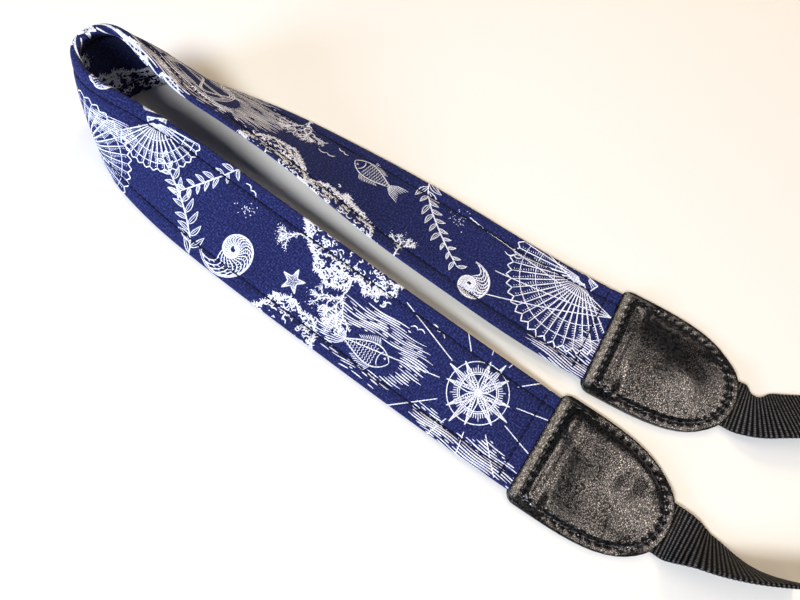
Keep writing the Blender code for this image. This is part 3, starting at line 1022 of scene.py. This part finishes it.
def draw_face():
    """What shows on top, from the near tab round the loop to the far tab."""
    reaches = (3.4, 5.6, 2.4, 4.8, 2.2, 6.2, 3.2, 2.4, 5.4, 2.3, 3.6, 4.6)
    compass((34, 4), 16, 12, zip(range(17, 377, 30), reaches))
    water((28, -19), 30, 8, 2, [(34, 4, 21)], 3)
    water((88, -6), 30, 17, -3, [(80, -9, 8), (88, -10, 9), (96, -11, 8), (103, -12, 5)], 4)
    fish((76, -9), 25, -6)
    gull((66, 17), 4.8, 12)
    gull((74, 12), 3.8, -8)
    reef([(92, 27), (100, 15), (112, 15), (124, 4), (134, 8), (152, 27)], 14, 1)
    reef([(112, -27), (120, -14), (130, -12), (142, -18), (150, -27)], 8, -1)
    coral((114, 12), -96, 7.5, 1.1)
    coral((146, 18), -30, 5.5, 0.9, 3)
    starfish((138, -4), 6.5, 10)
    nautilus((172, -9), 18, 200)
    dots(np.array([178, 12]) + rng.normal(0, 2.6, (30, 2)))
    kelp(curve_line(190, 228, -26, 8), 9.5, 2.9)
    kelp(curve_line(192, 214, 27, -4, 1.1), 7.5, 2.7)
    gull((182, 20), 4.2, 20)
    scallop((272, -23), 33, 118, 17)
    scallop((238, 23), 23, -116, 14)
    water((256, 6), 16, 6, -6, [(262, -4, 5)], 8)
    coral((290, 26), -84, 7.0)
    reef([(284, -27), (292, -14), (304, -11), (314, -18), (322, -27)], 9, -1)
    starfish((312, 10), 9, 40)
    water((356, -1), 44, 25, -2, [(356, 4, 8), (346, 3, 9), (366, 6, 9), (336, 1, 8)], 12)
    anchor((352, 4), 42, 6)
    reef([(388, 27), (396, 14), (408, 10), (420, 14), (428, 27)], 12, 1)
    coral((404, -27), 82, 8.0, 1.1)
    gull((424, -6), 4.8, -12)
    gull((430, -14), 3.6, 14)
    reef([(428, 27), (436, 17), (450, 12), (462, 18), (474, 27)], 10, 1)
    fish((438, -12), 24, 8)
    kelp(curve_line(476, 514, -27, 10, 1.6), 9.0, 2.9)
    dots(np.array([500, -14]) + rng.normal(0, 3.0, (30, 2)))
    coral((486, 27), -100, 6.5, 0.9, 3)
    scallop((572, -24), 38, 114, 19)
    nautilus((524, 14), 13, 20, -1)
    water((578, 15), 20, 12, 4, [(566, 4, 15)], 15)
    gull((534, -14), 4.8, -14)
    for turn, reach in ((158, 74), (171, 62), (186, 88), (199, 58)):
        stamp((592, -10), turn, 1.0)([(0, 0), (reach, 0)], 0.55, 0.8)


# %% Draw the back and the rim
def draw_back():
    """What shows inside the loop and underneath."""
    water((40, 2), 34, 18, 2, seed=31)
    reef([(90, -27), (100, -8), (118, 2), (134, -6), (150, -27)], 12, 1)
    coral((170, 26), -96, 8)
    scallop((208, -22), 28, 96)
    kelp(curve_line(232, 262, -26, 8))
    reef([(258, 27), (268, 10), (284, 4), (300, 6), (314, 12), (330, 27)], 15, 1)
    coral((286, 2), -106, 7.0)
    coral((262, -26), 70, 6.0, 0.9, 3)
    starfish((322, -12), 8, 5)
    water((356, 4), 26, 16, -4, seed=33)
    compass((410, -4), 16, 30, [(k, 3.4) for k in range(52, 412, 60)])
    fish((446, 8), 22, -6)
    reef([(480, 27), (494, 8), (512, 4), (530, 27)], 12, 1)
    kelp(curve_line(524, 560, -26, 8))
    water((578, -8), 16, 12, seed=35)


def draw_rim():
    """What crosses the upper edge where the loop turns it into view: v is 0 on the edge."""
    starfish((300, -1), 4.5, 25)
    for turn, reach in ((-14, 30), (-4, 44), (6, 36), (17, 20), (160, 16), (172, 22), (185, 18)):
        stamp((300, -1), turn, 1.0)([(5, 0), (reach, 0)], 0.45, 0.8)
    for first in (232, 312):
        shore = [(first, 7), (first + 12, -1), (first + 24, 4), (first + 36, -2), (first + 50, 7)]
        line = ragged(shore, 0.14)
        pen(line, 0.8, 0.7)
        hair(line, 2.6, 0.9, (1,), 0.4)
    water((336, 2), 22, 8, 2, seed=41)


def drawn(design):
    """Runs one drawing and hands over its strokes."""
    strokes.clear()
    design()
    return strokes.copy()


# Each panel: its strokes, where its middle lies round the girth, and its half height.
PANELS = (
    (drawn(draw_face), 0, BAND_GIRTH / 4),
    (drawn(draw_back), BAND_GIRTH / 2, BAND_GIRTH / 4),
    (drawn(draw_rim), BAND_GIRTH / 4, 7 * MM),
)
print("strokes on the panels", [len(drawing) for drawing, _, _ in PANELS])


# %% From strokes to a printed layer
INK_STEP = 0.05 * MM  # the lowest stroke stands this high over the cloth
INK_SPREAD = 0.04 * MM  # the others a little higher, so that no two lie in one plane
PRINT_END = 0.2 * MM  # no ink this close to the tabs
SPREAD_RATIO = 0.618  # the golden ratio never gives two neighbours the same height


def strokes_to_ribbons(drawing):
    """All strokes as flat ribbons of one curve, made a mesh while they are still flat."""
    curve = bpy.data.curves.new("print", "CURVE")
    curve.dimensions = "3D"
    curve.extrude = 0.5 * MM  # to both sides, so a radius of 1 is a line 1 mm wide
    for number, (line, width) in enumerate(drawing):
        spline = curve.splines.new("POLY")
        spline.points.add(len(line) - 1)
        places = np.zeros((len(line), 4))
        places[:, :2] = line * MM
        places[:, 2] = INK_STEP + INK_SPREAD * (number * SPREAD_RATIO % 1)
        spline.points.foreach_set("co", places.ravel())
        spline.points.foreach_set("radius", width)
        spline.points.foreach_set("tilt", np.full(len(line), pi / 2))
    return baked(bpy.data.objects.new("print", curve))


def trim(bm, low, high):
    """Cuts a flat mesh at four straight limits: its lowest and highest x and y."""
    for axis in (Vector((1, 0, 0)), Vector((0, 1, 0))):
        for limit, sign in ((low, -1), (high, 1)):
            parts = bm.verts[:] + bm.edges[:] + bm.faces[:]
            bmesh.ops.bisect_plane(
                bm, geom=parts, dist=0, clear_outer=True,
                plane_co=axis * axis.dot((*limit, 0)), plane_no=axis * sign,
            )


def make_print():
    """Each panel is trimmed flat, shifted to its side of the girth and wrapped."""
    bm = bmesh.new()
    for drawing, shift, half in PANELS:
        panel = strokes_to_ribbons(drawing)
        trim(panel, (PRINT_END, -half), (BAND_LENGTH - PRINT_END, half))
        bmesh.ops.translate(panel, vec=(0, shift, 0), verts=panel.verts)
        append_to(bm, panel)
    bm.normal_update()
    for face in bm.faces:
        if face.normal.z < 0:
            face.normal_flip()
    flat = points_of(bm)
    mark_flat(bm)
    round_way = flat[:, :2].copy()
    half = BAND_GIRTH / 2
    round_way[:, 1] = (round_way[:, 1] + half) % BAND_GIRTH - half
    strip = wrap_cloth(round_way, band_section, band_relief, flat[:, 2])
    put_points(bm, lay_in_fold(strip, band_route))
    return finish_piece("white_print", bm, ink)


make_print()

# %% [markdown]
# ## Seams
# A line of stitches is one small thread shape repeated by an Array modifier, joined
# into one mesh and laid along its path. The thread dips where the needle goes down. A
# painted dash would be lighter, but it would not catch the light like a thread.

# %% A row of stitches
def one_stitch(length, width, height, sides=6, rings=7):
    """A short bent thread: a stretched ball whose ends go down."""
    bm = bmesh.new()
    bmesh.ops.create_uvsphere(bm, u_segments=sides, v_segments=rings, radius=1)
    bmesh.ops.rotate(bm, verts=bm.verts, matrix=Matrix.Rotation(pi / 2, 3, "Y"))
    x, y, z = points_of(bm).T
    blunt = np.sign(x) * np.abs(x) ** 0.8
    z = z * height / 2 - x**2 * height * 0.7
    put_points(bm, np.stack([blunt * length / 2, y * (width / 2), z], 1))
    return as_mesh("stitch", bm)


def stitch_row(mesh, pitch, count):
    """The stitch repeated along x by an Array modifier, as one bmesh."""
    thing = bpy.data.objects.new("row", mesh)
    array = thing.modifiers.new("row", "ARRAY")
    array.count = count
    array.use_relative_offset = False
    array.use_constant_offset = True
    array.constant_offset_displace = (pitch, 0, 0)
    return baked(thing)


# %% Topstitching of the band
BAND_THREAD = (3.2 * MM, 1.0 * MM, 0.65 * MM)  # length, width and height of a stitch
SEAM_SINK = 0.34 * MM  # the thread pulls itself into the padding
CROSS_SINK = 0.12 * MM
CROSS_COUNT = 14
SEAM_OVER = 2 * MM  # how far the long seams run on into the tabs


def make_topstitching():
    """Two long seams on both sides of the band, and one across it by each tab."""
    stitch = one_stitch(*BAND_THREAD)
    count = int((BAND_LENGTH + 2 * SEAM_OVER) / BAND_STITCH)
    rows = bmesh.new()
    seam_height = band_half_thickness(np.array([STITCH_LINE]))[0] - SEAM_SINK
    for side in (-1, 1):
        for up in (-1, 1):
            row = stitch_row(stitch, BAND_STITCH, count)
            points = points_of(row)
            points += (BAND_STITCH / 2 - SEAM_OVER, side * STITCH_LINE, seam_height)
            put_points(row, lay_in_fold(points * (1, 1, up), band_route))
            if up < 0:
                bmesh.ops.reverse_faces(row, faces=row.faces)
            append_to(rows, row)
    for place in (CROSS_SEAM, BAND_LENGTH - CROSS_SEAM):
        row = stitch_row(stitch, BAND_STITCH, CROSS_COUNT)
        points = points_of(row)[:, [1, 0, 2]] * (1, -1, 1)
        points += (place, (CROSS_COUNT - 1) / 2 * BAND_STITCH, -CROSS_SINK)
        points[:, 2] += band_half_thickness(np.abs(points[:, 1]))
        put_points(row, lay_in_fold(points, band_route))
        append_to(rows, row)
    return finish_piece("band_topstitching", rows, thread)


make_topstitching()

# %% [markdown]
# ## Leather tabs
# Each tab is a D of soft leather over a filling, sewn all round. A subdivided box would
# smooth its seam away, so a flat grid is wrapped into the D like a fan: one side of the
# grid becomes the cut edge and the other side the middle. Its height is then a sum of
# plain shapes: the pressed flange, the stitch groove with its puckers, the filled
# middle and a few soft dents.

# %% The tab's outline
# Shares of the length at which the curved side has its points.
TAB_SIDE = (
    0.11, 0.145, 0.18, 0.22, 0.28, 0.35, 0.43, 0.51, 0.59, 0.66, 0.73,
    0.79, 0.845, 0.89, 0.925, 0.953, 0.975, 0.990, 0.998, 1.0,
)
TAB_STITCH = 4.2 * MM
TAB_AROUND = 336


def tab_outline():
    """Outline of a tab from the straight edge's middle round the tip: along and across."""
    half = TAB_WIDTH / 2
    upper = [(0.0, (half - TAB_CORNER) * k / 6) for k in range(6)]
    for k in range(7):
        angle = pi / 2 * k / 6
        upper.append((TAB_CORNER * (1 - cos(angle)), half - TAB_CORNER * (1 - sin(angle))))
    upper += [(share * TAB_LENGTH, half * (1 - share**4) ** 0.5) for share in TAB_SIDE]
    return np.array(upper + [(along, -across) for along, across in upper[1:-1][::-1]])


def closed(line):
    """The line with its first point once more at its end."""
    return np.vstack([line, line[:1]])


def evenly(points, count):
    """The same closed line with evenly spaced points."""
    way = way_along(closed(points))
    return read_line(closed(points), way, np.linspace(0, way[-1], count + 1))[:-1]


def tangents(line, reach):
    """Which way a closed line goes at each point."""
    return unit(np.roll(line, -reach, axis=0) - np.roll(line, reach, axis=0))


def drawn_inward(outline, distance):
    """The outline moved inward, point by point. The distance may differ all along."""
    tangent = tangents(outline, 2)
    inward = np.stack([tangent[:, 1], -tangent[:, 0]], 1)
    return outline + inward * np.reshape(distance, (-1, 1))


def distance_to(points, line):
    """Each point's distance to a line of points."""
    a = line[:-1]
    span = line[1:] - a
    rest = points[:, None, :] - a[None]
    t = np.clip((rest * span[None]).sum(2) / (span**2).sum(1)[None], 0, 1)
    return np.linalg.norm(rest - span[None] * t[:, :, None], axis=2).min(1)


outline = evenly(tab_outline(), TAB_AROUND)
SIDE_LINE = outline[outline[:, 0] > TAB_CORNER * 0.5]


# %% The tab's seam
SIDE_INSET = 4.1  # mm from the cut edge to the seam along the sides
MOUTH_INSET = 1.2  # mm more at the straight edge
TIP_INSET = 0.3  # mm more round the tip


def stitch_distance(points):
    """How far in from the cut edge the seam runs: closer along the two sides."""
    mouth = 1 - soft_step((points[:, 0] - 3 * MM) / (8 * MM))
    tip = soft_step((points[:, 0] / TAB_LENGTH - 0.86) / 0.10)
    return (SIDE_INSET + MOUTH_INSET * mouth + TIP_INSET * tip) * MM


seam_line = evenly(drawn_inward(outline, stitch_distance(outline)), TAB_AROUND)
SEAM_LOOP = closed(seam_line)
SEAM_WAY = way_along(SEAM_LOOP)
SEAM_LENGTH = SEAM_WAY[-1]
SEAM_COUNT = round(SEAM_LENGTH / TAB_STITCH)
print("tab seam in mm", round(SEAM_LENGTH / MM, 1), "stitches", SEAM_COUNT)


def seam_phase(points):
    """Where round the seam each point lies, counted in stitches."""
    away = np.linalg.norm(points[:, None, :] - seam_line[None], axis=2)
    return np.argmin(away, axis=1) / len(seam_line) * SEAM_COUNT


# %% Under the front layer
SLOPE = 6 * MM  # the leather climbs on to the webbing over this length
LEAD = 2 * MM  # and begins this much before the webbing does
FILLING_FROM = 3.4 * MM  # in from the cut edge
FILLING_STEEP = 2.6 * MM  # the filling rises quickly at first
FILLING_GENTLE = 22 * MM  # and then slowly up to here
QUICK_SHARE = 0.42  # of its height that it gains at first
QUICK_MORE = 0.50  # and more of it where the filling is full
BAND_FADE = 10 * MM  # the leather sinks behind the band's end over this length
WEB_FADE = 9 * MM  # and to both sides of the webbing
BLEND = 6  # a high power keeps the highest of several heights, with a soft change


def underside(points, full):
    """Lowest height that a front layer may have over the band, the filling and the webbing."""
    along, across = points.T
    band_high = BAND_THICKNESS + GAP
    web_high = WEB_THICKNESS + GAP
    in_from_edge = distance_to(points, SIDE_LINE) - FILLING_FROM
    quick = QUICK_SHARE + QUICK_MORE * full
    filled = quick * soft_step(in_from_edge / FILLING_STEEP)
    filled += (1 - quick) * soft_step(in_from_edge / FILLING_GENTLE)
    over_band = 1 - soft_step((np.abs(across) - BAND_WIDTH / 2 + 2 * GAP) / TAB_MARGIN)
    over_band *= 1 - soft_step((along - BAND_TUCKED_IN - LEAD) / BAND_FADE)
    over_web = 1 - soft_step((np.abs(across) - WEB_WIDTH / 2 - GAP) / WEB_FADE)
    over_web *= soft_step((along - TAB_LENGTH + WEB_TUCKED_IN + LEAD) / SLOPE + 1)
    tip = 1 - soft_step((along - 0.55 * TAB_LENGTH) / (0.40 * TAB_LENGTH))
    filling = (web_high + (band_high - web_high) * tip) * filled
    heights = (filling, band_high * over_band, web_high * over_web)
    return STAND + sum(height**BLEND for height in heights) ** (1 / BLEND)


# %% The tab's heights
# Each pair is a height and how wide it reaches.
TAB_GROOVE = (-0.42 * MM, 0.95 * MM)
TAB_PUCKER = (-0.42 * MM, 1.5 * MM)
CUT_EDGE = (-0.25 * MM, 0.5 * MM)
SHOULDER_IN, SHOULDER_WIDE = 3.0 * MM, 1.9 * MM  # a soft ridge inside the seam
SHOULDER, SHOULDER_MOUTH = 0.15, 0.6  # its height in mm, and how much more by the mouth
CROWN_OVER, CROWN_FULL = 24, 20  # mm to the crown's full height, and less where it is full
TAB_SLACK = 0.07 * MM
LEAN_LIFT, LEAN_TILT = 0.3 * MM, 0.05
CALM_RIM = 6 * MM
# A tab's dents are given in mm: along, across, size and depth. With lean, the filling
# sits towards the far side, and seed gives its slack leather waves of its own.
TABS = {
    "near": {
        "dents": ((46.0, 9.0, 5.5, 1.0), (43.0, 3.0, 6.0, 1.2), (38.0, -6.0, 7.0, 0.6)),
        "lean": 1.0,
        "seed": 11,
    },
    "far": {
        "dents": ((30.0, 9.0, 12.0, 0.5), (24.0, -2.0, 9.0, 0.25)),
        "lean": 0.0,
        "seed": 12,
    },
}


def tab_top(points, dents, lean, seed):
    """Height of a front layer's top."""
    along, across = points.T
    full = lean * soft_step(across / (14 * MM))
    from_side = distance_to(points, SIDE_LINE)
    inside = (np.maximum(from_side, 1e-6) ** -3 + np.maximum(along, 1e-6) ** -3) ** (-1 / 3)
    side_of_seam = np.where(inside < stitch_distance(points), -1, 1)
    from_seam = side_of_seam * distance_to(points, SEAM_LOOP)
    crown_over = (CROWN_OVER - CROWN_FULL * full) * MM
    crown = TAB_CROWN * soft_step((inside - TAB_RIM + 1 * MM) / crown_over)
    by_mouth = 1 - soft_step((along - 6 * MM) / (8 * MM))
    shoulder_high = (SHOULDER + SHOULDER_MOUTH * by_mouth) * MM
    shoulder = swell(from_seam - SHOULDER_IN, shoulder_high, SHOULDER_WIDE)
    groove = swell(from_seam, *TAB_GROOVE)
    pucker = swell(from_seam, *TAB_PUCKER) * np.cos(2 * pi * seam_phase(points))
    slack = TAB_SLACK * soft_waves(along, across, seed, 40 * MM, 14 * MM)
    slack += lean * (LEAN_LIFT + LEAN_TILT * across)
    slack *= soft_step((inside - TAB_RIM) / CALM_RIM)
    cut = swell(from_side, *CUT_EDGE)
    height = underside(points, full) + LEATHER + crown + shoulder + groove + pucker + slack + cut
    for dent_along, dent_across, size, depth in dents:
        away = np.hypot(along - dent_along * MM, across - dent_across * MM)
        height -= swell(away, depth * MM, size * MM)
    return height


# %% The painted reflection by the straight edge
REFLECTION_STRENGTH = 0.75  # how much of the painted reflection shows
STRIP_SOFT = 0.7 * MM
STRIP_END = 4.6 * MM  # from the straight edge


def reflection_share(points):
    """Where the flat strip by the straight edge gets a painted reflection, between edge and seam.
    """
    along, across = points.T
    strip = soft_step((along - STRIP_SOFT) / STRIP_SOFT)
    strip *= soft_step((STRIP_END - along) / STRIP_SOFT)
    return REFLECTION_STRENGTH * strip * soft_step((TAB_WIDTH / 2 - 1.5 * MM - np.abs(across)) / (2 * MM))


# %% Make the front layers
RIM_RINGS = 15  # rings of points on the flange and the seam
INNER_SHARES = np.concatenate([np.linspace(0.98, 0.70, 15), np.linspace(0.66, 0.0, 16)])
MIDDLE = np.array([0.46 * TAB_LENGTH, 0.0])


def tab_rings():
    """Rings of points from the cut edge to the middle, spread evenly as they go in."""
    rings = [drawn_inward(outline, TAB_RIM * k / (RIM_RINGS - 1)) for k in range(RIM_RINGS)]
    crowded = rings[-1]
    even = evenly(crowded, TAB_AROUND)
    for number, share in enumerate(INNER_SHARES):
        ring = crowded + (even - crowded) * soft_step(number / 12)
        rings.append(MIDDLE + (ring - MIDDLE) * share)
    return np.array(rings)


def place_tab(points, end):
    """Moves a tab's own points (along, across, up) to its place on the table."""
    angle, mouth = radians(HEADINGS[end]), MOUTHS[end]
    x = mouth[0] + points[:, 0] * cos(angle) - points[:, 1] * sin(angle)
    y = mouth[1] + points[:, 0] * sin(angle) + points[:, 1] * cos(angle)
    return np.stack([x, y, points[:, 2] + TABLE], 1)


def make_tab_front(end, tab):
    """The top is shaped first; an extrusion downwards then gives the leather its thickness."""
    rings = tab_rings()
    bm = bmesh.new()
    bmesh.ops.create_grid(bm, x_segments=TAB_AROUND, y_segments=len(rings) - 1, size=0.5)
    grid = points_of(bm)
    around = np.rint((grid[:, 0] + 0.5) * TAB_AROUND).astype(int) % TAB_AROUND
    inward = np.rint((grid[:, 1] + 0.5) * (len(rings) - 1)).astype(int)
    flat = rings[inward, around]
    put_points(bm, np.column_stack([flat, tab_top(flat, **tab)]))
    mark_flat(bm, "leather")
    reflection_mask = bm.verts.layers.float.new("reflection_mask")
    # The mask of the painted reflection rides on the points.
    for vert, amount in zip(bm.verts, reflection_share(flat)):
        vert[reflection_mask] = amount
    edge_points = [vert for vert in bm.verts if vert.is_boundary]
    bmesh.ops.remove_doubles(bm, verts=edge_points, dist=MERGE)
    bmesh.ops.recalc_face_normals(bm, faces=bm.faces)
    if sum(face.normal.z for face in bm.faces) < 0:
        bmesh.ops.reverse_faces(bm, faces=bm.faces)
    made = bmesh.ops.extrude_face_region(bm, geom=bm.faces[:], use_keep_orig=True)
    below = [part for part in made["geom"] if isinstance(part, bmesh.types.BMVert)]
    bmesh.ops.translate(bm, verts=below, vec=(0, 0, -LEATHER))
    bmesh.ops.recalc_face_normals(bm, faces=bm.faces)
    put_points(bm, place_tab(points_of(bm), end))
    return finish_piece(f"{end}_tab_leather", bm, leather, [f"{end}_tab_front"])


for end, tab in TABS.items():
    make_tab_front(end, tab)

# %% Stitches round the tabs
TAB_THREAD = (3.1 * MM, 0.85 * MM, 0.8 * MM)  # length, width and height of a stitch
SLANT = 0.16  # each stitch lies a little aslant
THREAD_RISE = 0.12 * MM


def make_tab_stitches(end, tab):
    """A straight row of stitches, bent round the seam and laid on the leather's top."""
    row = stitch_row(one_stitch(*TAB_THREAD, 8, 9), TAB_STITCH, SEAM_COUNT)
    x, y, z = points_of(row).T
    at = (x + TAB_STITCH / 2) / (TAB_STITCH * SEAM_COUNT) * SEAM_LENGTH % SEAM_LENGTH
    number = np.floor((x + TAB_STITCH / 2) / TAB_STITCH)
    base = read_line(SEAM_LOOP, SEAM_WAY, at)
    ahead = read_line(closed(tangents(seam_line, 1)), SEAM_WAY, at)
    side = y + (x - number * TAB_STITCH) * SLANT
    flat = base + np.stack([-ahead[:, 1], ahead[:, 0]], 1) * side[:, None]
    centres = (np.arange(SEAM_COUNT) + 0.5) / SEAM_COUNT * SEAM_LENGTH
    tops = tab_top(read_line(SEAM_LOOP, SEAM_WAY, centres), **tab)
    up = z + tops[np.clip(number.astype(int), 0, SEAM_COUNT - 1)] + THREAD_RISE
    put_points(row, place_tab(np.column_stack([flat, up]), end))
    return finish_piece(f"{end}_tab_stitches", row, leather_thread)


for end, tab in TABS.items():
    make_tab_stitches(end, tab)

# %% Leather on the back layers
for end in TABS:
    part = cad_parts[f"{end}_tab_back"]
    part.data.materials.clear()
    part.data.materials.append(leather)

# %% [markdown]
# ## Webbing tails
# Ribbed webbing is woven from thick cross threads that are covered by fine long ones,
# so the ribs run across. A bump would leave its outline smooth, so the ribs are real
# relief here, 1.7 mm apart, on a wrapped grid like the band's.

# %% Make the webbing
RIB = RIB_MM * MM
RIB_HEIGHT = 0.50 * MM
WEB_EDGE = 0.75 * MM
WEB_SUNK = 0.12 * MM  # between the ribs it is this much thinner
WEB_AROUND = 64


def web_half_thickness(y):
    """Webbing is as thick at its edge as in its middle."""
    return np.maximum(WEB_THICKNESS / 2 - WEB_SUNK + 0 * y, WEB_EDGE)


web_section = closed_section(WEB_WIDTH, WEB_EDGE, web_half_thickness)
WEB_GIRTH = web_section[-1, 0] - web_section[0, 0]


def web_relief(x, y, top):
    """Round ribs that fade a little at the woven edge."""
    rib = np.abs(np.sin(pi * x / RIB)) ** 0.8 - 0.55
    edge = soft_step((WEB_WIDTH / 2 - np.abs(y)) / (1.5 * MM))
    return RIB_HEIGHT * rib * (0.35 + 0.65 * edge)


def make_webbing(end, length):
    """Eight rows of points to a rib keep it round."""
    bm = flat_cloth(0, length, WEB_GIRTH, round(length / (RIB / 8)), WEB_AROUND)
    strip = wrap_cloth(points_of(bm), web_section, web_relief)
    put_points(bm, lay_in_fold(strip, tail_routes[end]))
    close_tube(bm)
    name = f"{end}_webbing"
    return finish_piece(f"{name}_tail", bm, webbing_look, [name])


for end, (_, length) in TAILS.items():
    make_webbing(end, length)

# %% [markdown]
# ## Table and light
# A white table under broad soft lights, as in a bright room. The main light comes from
# the viewer's side at half height: its soft shadow falls behind the standing loop. A
# weak warm lamp behind and a broad ceiling light keep the far run from going dark, and
# are not mirrored. Leather shows mostly what it mirrors, so a pale card hangs high on
# the right and is seen in reflections only. The world is seen by the camera and in
# reflections, and lights nothing.

# %% Table and light
def make_floor():
    """A plain board just under the strap."""
    bm = bmesh.new()
    bmesh.ops.create_grid(bm, x_segments=1, y_segments=1, size=1.4)
    floor = show(bpy.data.objects.new("table_top", as_mesh("table_top", bm)))
    floor.data.materials.append(new_material("white lacquered board", "#dfddd5", 0.6)[0])
    floor.location.z = -0.02 * MM


def soft_light(name, place, size, power, colour, shape="ELLIPSE"):
    """A glowing surface that faces the strap: its width, and its length towards it."""
    data = bpy.data.lights.new(name, "AREA")
    data.shape = shape
    data.size, data.size_y = size
    data.energy = power
    data.color = linear(colour)[:3]
    light = show(bpy.data.objects.new(name, data))
    light.location = place
    light.rotation_euler = (-Vector(place)).to_track_quat("-Z", "Y").to_euler()
    return light


make_floor()
soft_light("window", (-0.22, -0.88, 1.20), (0.48, 0.48), 22.5, "#f8faff")
soft_light("side window", (-0.67, -0.93, 0.42), (0.48, 0.42), 14.0, "#c6d6ff")
warm = soft_light("warm lamp", (-0.08, 1.15, 1.06), (0.48, 0.48), 10.5, "#ffdcae")
fill = soft_light("ceiling", (0.02, 0.42, 1.45), (1.0, 1.0), 7.6, "#fff3e4")
gleam = soft_light("gleam card", (0.88, 0.17, 1.5), (1.3, 0.50), 36.5, "#ffeee2", "RECTANGLE")
warm.visible_glossy = False
fill.visible_glossy = False
gleam.visible_diffuse = False
world = bpy.data.worlds.new("room")
world.use_nodes = True
feed(world.node_tree.nodes["Background"], Color=linear("#eef1fb"), Strength=0.25)
world.cycles_visibility.diffuse = False
bpy.context.scene.world = world
bpy.context.scene.view_settings.view_transform = "Standard"
